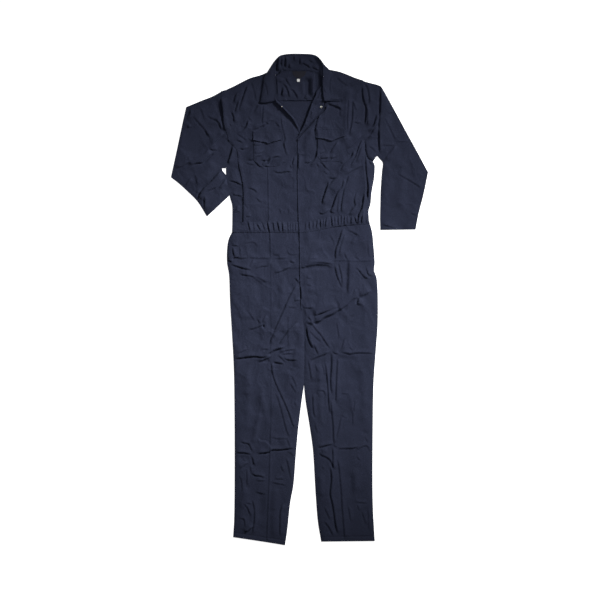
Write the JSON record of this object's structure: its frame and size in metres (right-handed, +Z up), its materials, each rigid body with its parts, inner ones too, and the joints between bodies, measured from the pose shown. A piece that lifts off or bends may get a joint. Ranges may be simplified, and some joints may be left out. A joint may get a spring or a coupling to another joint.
{
  "type": "boiler suit",
  "caption": "Long-sleeved one-piece boiler suit in navy twill, laid flat and face up with its sleeves bent, with collar, turned-back lapel, flap pockets, elasticated waist and straight legs.",
  "frame": {"origin": "on the surface it lies on, under the middle of the outline's box", "axes": "+Y up the garment to the collar, +X to the right as seen from above (the wearer's left), +Z up off the surface"},
  "size_m": [0.926, 1.7696, 0.0073],
  "materials": {
    "navy_twill": "piece-dyed navy polyester-cotton twill, matt, faintly napped, creased from folding",
    "white_tape": "plain white woven tape",
    "stud_metal": "nickel-plated brass, polished"
  },
  "bodies": {
    "root": {"back_body": "navy_twill", "back_waistband": "navy_twill", "back_yoke": "navy_twill", "chest_pocket_left": "navy_twill", "chest_pocket_right": "navy_twill", "collar_fall_left": "navy_twill", "collar_fall_right": "navy_twill", "collar_fall_under": "navy_twill", "collar_stand": "navy_twill", "facing_left": "navy_twill", "front_left": "navy_twill", "front_right": "navy_twill", "front_waistband_left": "navy_twill", "front_waistband_right": "navy_twill", "hip_tab_left": "navy_twill", "lapel_right": "navy_twill", "neck_patch": "navy_twill", "pocket_flap_left": "navy_twill", "pocket_flap_right": "navy_twill", "sleeve_left": "navy_twill", "sleeve_right": "navy_twill", "trouser_back_left": "navy_twill", "trouser_back_right": "navy_twill", "trouser_front_left": "navy_twill", "trouser_front_right": "navy_twill", "neck_tag": "white_tape", "press_stud_edge": "stud_metal", "press_stud_lapel": "stud_metal"}
  },
  "joints": []
}
